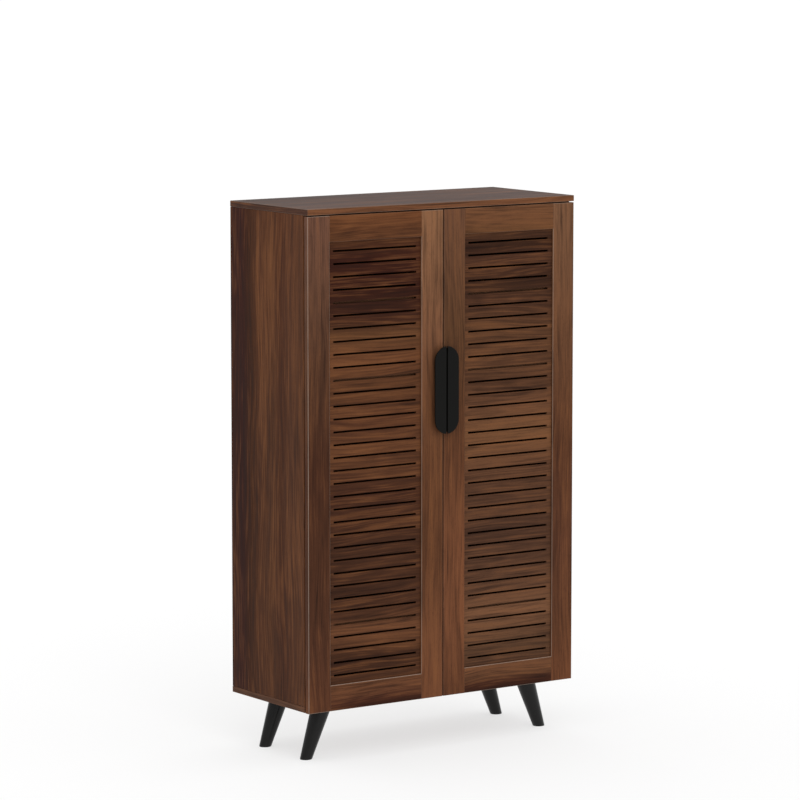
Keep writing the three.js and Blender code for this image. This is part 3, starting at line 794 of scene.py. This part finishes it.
class CABINET_OT_hinges(bpy.types.Operator):
    """Make the cups, pins, mounting plates and hinge screws, and finish the arms"""

    bl_idname = "cabinet.hinges"
    bl_label = "Hinges"

    def execute(self, context):
        nickel = nickel_plated_steel()
        zinc = zinc_plated_steel()
        for side, sign in SIDES.items():
            for i in HINGES:
                self.cup(context, side, i, nickel, zinc)
                self.pin(side, i, zinc)
                self.mounting_plate(context, side, sign, i, nickel, zinc)
                dressed(f"{side}_hinge_arm_{i}", nickel, context.scene.cabinet_edges.metal)
        return {"FINISHED"}

    def cup(self, context, side, index, nickel, zinc):
        """A pressed cup with a screw-on flange, sunk in the door."""
        node_name = f"{side}_hinge_cup_{index}"
        size = context.scene.cabinet_hinge
        low, high, centre = box_and_middle(node_name)
        radius, wall, flange = size.cup_radius, size.cup_metal, size.flange
        depth = high.y - low.y
        seat = (centre.x, low.y, centre.z)
        lip = self.flange_edge(radius, size.ear_half, (high.z - low.z) / 2, size.ear_corner)
        pressing = turned(Shape(), [
            (0, radius - 1.6 * MM), (0.5 * MM, radius - 0.5 * MM), (1.6 * MM, radius),
            (depth - flange, radius), (depth - flange, lip), (depth, lip), (depth, radius - wall),
            (wall + 2 * MM, radius - wall), (wall + 0.6 * MM, radius - wall - 0.8 * MM),
            (wall, radius - 3 * MM),
        ], seat, (0, 1, 0), 96, (0, 0, 1))
        place(
            f"{node_name}_pressing", pressing, nickel, f"{side}_door", [node_name],
            ease=0.2 * MM,
        )
        look = context.scene.cabinet_hardware
        screws = Shape()
        for end in (-1, 1):
            seat = (centre.x, high.y, centre.z + end * size.cup_screw)
            screw_head(screws, seat, (0, 1, 0), look.screw_radius, 1.0 * MM)
        place(f"{side}_hinge_cup_screws_{index}", screws, zinc, f"{side}_door")

    def flange_edge(self, radius, half_width, half_length, corner):
        """Radius by angle of the flange: a round lip with an ear at each end, its corners rounded."""
        across, along = half_width - corner, half_length - corner

        def edge(angle):
            end, side = abs(math.cos(angle)), abs(math.sin(angle))
            if half_length * side <= across * end:
                reach = half_length / end
            elif half_width * end <= along * side:
                reach = half_width / side
            else:
                middle = across * side + along * end
                reach = middle + math.sqrt(middle ** 2 - across ** 2 - along ** 2 + corner ** 2)
            return max(reach, radius + 0.2 * MM)

        return edge

    def pin(self, side, index, zinc):
        """The pin across the cup, its ends chamfered."""
        node_name = f"{side}_hinge_pin_{index}"
        low, high, centre = box_and_middle(node_name)
        radius = (high.x - low.x) / 2
        length = high.z - low.z
        chamfer = 0.3 * MM
        shape = turned(Shape(), [
            (0, radius - chamfer), (chamfer, radius),
            (length - chamfer, radius), (length, radius - chamfer),
        ], (centre.x, centre.y, low.z), (0, 0, 1))
        place(f"{node_name}_rod", shape, zinc, f"{side}_door", [node_name])

    def mounting_plate(self, context, side, sign, index, nickel, zinc):
        """A winged plate on the side panel, with the block that the arm rides on, and its screws."""
        size = context.scene.cabinet_hinge
        node_name = f"{side}_hinge_plate_{index}"
        low, high, centre = box_and_middle(node_name)
        wall_x = low.x if sign < 0 else high.x
        inward = -sign

        def on_wall(a, b, height):
            return (wall_x + inward * height, centre.y + a, centre.z + b)

        half, metal = size.wing_half, size.wing_metal
        outline = rounded_rectangle(half, (high.z - low.z) / 2, half - 0.1 * MM)
        wings = slab(Shape(), outline, on_wall, (0, metal))
        outline = rounded_rectangle((high.y - low.y) / 2, size.rider_half, 1.5 * MM)
        mesh = merged(node_name, wings, [slab(Shape(), outline, on_wall, (0, high.x - low.x))])
        place(
            f"{node_name}_casting", mesh, nickel, "case", [node_name],
            ease=context.scene.cabinet_edges.metal,
        )
        look = context.scene.cabinet_hardware
        screws = Shape()
        for end in (-1, 1):
            seat = on_wall(0, end * size.plate_screw, metal)
            screw_head(screws, seat, (inward, 0, 0), look.screw_radius, look.screw_rise)
        arm_low, arm_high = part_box(f"{side}_hinge_arm_{index}")
        arm_face = arm_high.x if sign < 0 else arm_low.x
        for setback in (44 * MM, 14 * MM):
            seat = (arm_face, arm_high.y - setback, centre.z)
            screw_head(screws, seat, (inward, 0, 0), size.arm_screw, 0.9 * MM)
        place(f"{side}_hinge_plate_screws_{index}", screws, zinc, "case")


class CABINET_OT_legs(bpy.types.Operator):
    """Make the four turned legs, their plates and the screws that hold them"""

    bl_idname = "cabinet.legs"
    bl_label = "Legs"

    def execute(self, context):
        lacquer = black_lacquered_beech()
        zinc = zinc_plated_steel()
        half = context.scene.cabinet_leg.plate_half
        for side in SIDES:
            for row in LEG_ROWS:
                low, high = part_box(f"left_{row}_leg_plate")
                plate_middle = Vector((high.x - half, (low.y + high.y) / 2, high.z))
                leg_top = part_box(f"left_{row}_leg")[1].z
                leg = self.leg(context, plate_middle, leg_top)
                name = f"{side}_{row}_leg"
                place(f"{name}_turning", leg.mirrored(side), lacquer, "case", [name])
                self.plate(context, side, row, plate_middle, half, zinc)
        return {"FINISHED"}

    def leg(self, context, plate_middle, leg_top):
        """A cone on a leaning axis, cut level at the floor and at the top, its foot eased."""
        look = context.scene.cabinet_leg
        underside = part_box("bottom_panel")[0].z
        lean_sin, lean_cos = math.sin(look.splay), math.cos(look.splay)
        foot = Vector((plate_middle.x - underside * math.tan(look.splay), plate_middle.y, 0))
        axis = Vector((lean_sin, 0, lean_cos))
        across = Vector((lean_cos, 0, -lean_sin))
        sideways = Vector((0, 1, 0))
        taper = (look.top_radius - look.foot_radius) / (underside / lean_cos)
        segments = 64

        def level(height, inset=0.0):
            """The ring where the cone meets a level plane, drawn in by inset."""
            ring = []
            radius = look.foot_radius - inset
            for i in range(segments):
                angle = 2 * math.pi * i / segments
                fall = lean_sin * math.cos(angle)
                reach = (height + radius * fall) / (lean_cos - taper * fall)
                spoke = across * math.cos(angle) + sideways * math.sin(angle)
                ring.append(foot + axis * reach + spoke * (radius + taper * reach))
            return ring

        ease = look.ease
        rings = []
        for i in range(5):
            turn = i * math.pi / 8
            rings.append(level(ease * (1 - math.cos(turn)), ease * (1 - math.sin(turn))))
        steps = 10
        for i in range(1, steps + 1):
            rings.append(level(ease + (leg_top - ease) * i / steps))
        return Shape().loft(rings)

    def plate(self, context, side, row, centre, half, zinc):
        """A pressed steel plate under the case with a threaded stud, and four screws."""
        look = context.scene.cabinet_hardware
        size = context.scene.cabinet_leg
        thickness = size.plate_metal
        name = f"{side}_{row}_leg_plate"
        sheet = slab(
            Shape(), rounded_rectangle(half, half, 6 * MM),
            lambda a, b, height: (centre.x + a, centre.y + b, height),
            (centre.z - thickness, centre.z),
        )
        down = Vector((-math.sin(size.splay), 0, -math.cos(size.splay)))
        root = Vector((centre.x, centre.y, centre.z - thickness / 2))
        stud = turned(Shape(), [
            (0, size.stud_radius), (size.stud_length - 1 * MM, size.stud_radius),
            (size.stud_length, size.stud_radius - 0.8 * MM),
        ], root, down, 32)
        mesh = merged(name, sheet.mirrored(side), [stud.mirrored(side)])
        place(f"{name}_pressing", mesh, zinc, "case", [name], ease=0.3 * MM)
        screws = Shape()
        inset = half - 7.5 * MM
        for a in (-inset, inset):
            for b in (-inset, inset):
                seat = (centre.x + a, centre.y + b, centre.z - thickness)
                screw_head(screws, seat, (0, 0, -1), look.screw_radius, look.screw_rise)
        place(f"{name}_screws", screws.mirrored(side), zinc, "case")


class CABINET_OT_case_fittings(bpy.types.Operator):
    """Make the shelf pins, the caps over the cam fittings, the back's nails and the door bumpers"""

    bl_idname = "cabinet.case_fittings"
    bl_label = "Case Fittings"

    def execute(self, context):
        look = context.scene.cabinet_hardware
        nickel = nickel_plated_steel()
        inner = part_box("left_side")[1].x
        for i in SHELVES:
            self.shelf_pins(look, i, inner, nickel)
        for side in SIDES:
            self.cam_caps(look, side)
            self.bumpers(look, side)
        self.back_nails(look)
        return {"FINISHED"}

    def shelf_pins(self, look, index, inner, nickel):
        """Four stepped pins under a shelf, with rounded ends."""
        low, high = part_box(f"shelf_{index}")
        radius, reach = look.pin_radius, look.pin_reach
        height = low.z - radius - 0.05 * MM
        shape = Shape()
        for sign in SIDES.values():
            for depth in (low.y + look.pin_setback, high.y - look.pin_setback):
                wall = (sign * -inner, depth, height)
                turned(shape, [
                    (-7 * MM, 2.5 * MM), (0, 2.5 * MM), (0, radius), (reach - 1.5 * MM, radius),
                    (reach - 0.5 * MM, radius - 0.5 * MM), (reach, radius - 1.6 * MM),
                ], wall, (-sign, 0, 0), 32)
        place(f"shelf_{index}_pins", shape, nickel, "case")

    def cam_caps(self, look, side):
        """Low plastic caps over the cam fittings near both ends of a side panel."""
        low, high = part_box(f"{side}_side")
        sign = SIDES[side]
        face = high.x if sign < 0 else low.x
        shape = Shape()
        rise, radius = 1.2 * MM, look.cap_radius
        for height in (low.z + look.cap_setback, high.z - look.cap_setback):
            for depth in (low.y + 50 * MM, high.y - 50 * MM):
                turned(shape, [
                    (0, radius), (rise * 0.5, radius),
                    (rise * 0.85, radius - 0.5 * MM), (rise, radius - 1.4 * MM),
                ], (face, depth, height), (-sign, 0, 0), 48)
        place(f"{side}_cam_caps", shape, brown_abs(), "case")

    def bumpers(self, look, side):
        """Soft domes on the door's back, where it meets the bottom panel and the top shelf."""
        sign = SIDES[side]
        door_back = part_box(f"{side}_door_meeting_stile")[1].y
        clearance = 0.3 * MM
        shape = Shape()
        for target in ("bottom_panel", "shelf_5"):
            low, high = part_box(target)
            rise = low.y - door_back - clearance
            centre = (sign * 22 * MM, door_back, (low.z + high.z) / 2)
            radius = look.bumper_radius
            turned(shape, [
                (0, radius), (rise * 0.35, radius), (rise * 0.7, radius * 0.9),
                (rise * 0.92, radius * 0.68), (rise, radius * 0.4),
            ], centre, (0, 1, 0), 32)
        place(f"{side}_door_bumpers", shape, grey_silicone(), f"{side}_door")

    def back_nails(self, look):
        """Flat-headed nails round the back panel."""
        low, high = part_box("back_panel")
        inset, radius = 3 * MM, look.nail_radius
        corners = (low.x + inset, high.x - inset), (low.z + inset, high.z - inset)
        shape = Shape()
        spots = set()
        for axis in (0, 1):
            start, end = corners[axis]
            count = round((end - start) / look.nail_spacing)
            for i in range(count + 1):
                run = start + (end - start) * i / count
                for fixed in corners[1 - axis]:
                    spots.add((run, fixed) if axis == 0 else (fixed, run))
        for x, z in sorted(spots):
            turned(shape, [
                (0, radius), (0.25 * MM, radius), (0.4 * MM, radius * 0.8),
            ], (x, high.y, z), (0, 1, 0), 20)
        place("back_panel_nails", shape, zinc_plated_steel(), "case")


class CABINET_OT_stage(bpy.types.Operator):
    """Set the pale floor, the soft studio light and the camera"""

    bl_idname = "cabinet.stage"
    bl_label = "Stage"

    def execute(self, context):
        look = context.scene.cabinet_stage
        self.floor(look)
        self.sky(context, look)
        self.key(look)
        self.camera(context, look)
        view = context.scene.view_settings
        view.view_transform = "Standard"
        view.look = "None"
        return {"FINISHED"}

    def floor(self, look):
        """A wide floor of matt white acrylic lit from below, so that its shadows stay faint."""
        reach = 120
        shape = Shape()
        for x, y in ((-reach, -reach), (reach, -reach), (reach, reach), (-reach, reach)):
            shape.vertices.append(Vector((x, y, 0)))
        shape.faces = [(0, 1, 2, 3)]
        mesh = shape.mesh("floor")
        material, tree = material_tree("lit_white_acrylic")
        coordinates = node(tree, "TexCoord")["Object"]
        stipple = node(tree, "TexNoise", {"Vector": coordinates, "Scale": 1 / (3 * MM), "Detail": 2})[0]
        normal = node(tree, "Bump", {"Strength": 0.05, "Distance": 0.05 * MM, "Height": stipple})[0]
        close_material(tree, {
            "Base Color": look.floor[:], "Roughness": 0.9, "Specular IOR Level": 0.1, "Normal": normal,
            "Emission Color": (1, 1, 1, 1), "Emission Strength": look.floor_glow,
        })
        mesh.materials.append(material)
        floor = bpy.data.objects.new("floor", mesh)
        bpy.context.scene.collection.objects.link(floor)

    def sky(self, context, look):
        """Even light that is stronger overhead than near level, as under a large soft box."""
        world = bpy.data.worlds.new("studio")
        world.use_nodes = True
        tree = world.node_tree
        tree.nodes.clear()
        direction = node(tree, "TexCoord")["Generated"]
        up = node(tree, "SeparateXYZ", [direction])[2]
        strength = node(tree, "MapRange", (up, 0.0, 0.7, look.sky_low, look.sky_top))[0]
        seen = node(tree, "LightPath")["Is Camera Ray"]
        shown = node(tree, "Mix", {0: seen, 2: strength, 3: 1.0}, data_type="FLOAT")[0]
        light = node(tree, "Background", {"Color": (1, 1, 1, 1), "Strength": shown})[0]
        node(tree, "OutputWorld", {"Surface": light})
        context.scene.world = world

    def key(self, look):
        """A broad key light from the front, a little to the left."""
        lamp = bpy.data.lights.new("key", "SUN")
        lamp.energy = look.key
        lamp.angle = look.key_spread
        key = bpy.data.objects.new("key", lamp)
        key.rotation_euler = (math.pi / 2 - look.key_elevation, 0, look.key_azimuth)
        bpy.context.scene.collection.objects.link(key)

    def camera(self, context, look):
        data = bpy.data.cameras.new("camera")
        data.lens = look.lens
        data.sensor_width = 36
        camera = bpy.data.objects.new("camera", data)
        azimuth, elevation = look.azimuth, look.elevation
        back = Vector((
            math.sin(azimuth) * math.cos(elevation),
            -math.cos(azimuth) * math.cos(elevation),
            math.sin(elevation),
        ))
        aim = Vector((look.aim_across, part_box("top_panel")[0].y, look.aim_height))
        camera.location = aim + back * look.distance
        camera.rotation_euler = (-back).to_track_quat("-Z", "Y").to_euler()
        bpy.context.scene.collection.objects.link(camera)
        context.scene.camera = camera


class CABINET_PT_tools(bpy.types.Panel):
    """The cabinet's pieces and stage, in the order they are made"""

    bl_idname = "CABINET_PT_tools"
    bl_label = "Shoe Cabinet"
    bl_space_type = "VIEW_3D"
    bl_region_type = "UI"
    bl_category = "Cabinet"

    def draw(self, context):
        for operator in OPERATORS:
            self.layout.operator(operator.bl_idname)


SETTINGS = {
    "cabinet_walnut": WalnutSettings,
    "cabinet_edges": EdgeSettings,
    "cabinet_handle": HandleSettings,
    "cabinet_leg": LegSettings,
    "cabinet_hinge": HingeSettings,
    "cabinet_hardware": HardwareSettings,
    "cabinet_stage": StageSettings,
}
OPERATORS = (
    CABINET_OT_boards,
    CABINET_OT_doors,
    CABINET_OT_handles,
    CABINET_OT_hinges,
    CABINET_OT_legs,
    CABINET_OT_case_fittings,
    CABINET_OT_stage,
)


def register():
    for group in (*SETTINGS.values(), *OPERATORS, CABINET_PT_tools):
        bpy.utils.register_class(group)
    for name, group in SETTINGS.items():
        setattr(bpy.types.Scene, name, PointerProperty(type=group))


def unregister():
    for name in SETTINGS:
        delattr(bpy.types.Scene, name)
    for group in reversed((*SETTINGS.values(), *OPERATORS, CABINET_PT_tools)):
        bpy.utils.unregister_class(group)


def main():
    register()
    bpy.ops.cabinet.boards()
    bpy.ops.cabinet.doors()
    bpy.ops.cabinet.handles()
    bpy.ops.cabinet.hinges()
    bpy.ops.cabinet.legs()
    bpy.ops.cabinet.case_fittings()
    bpy.ops.cabinet.stage()


if __name__ == "__main__":
    main()
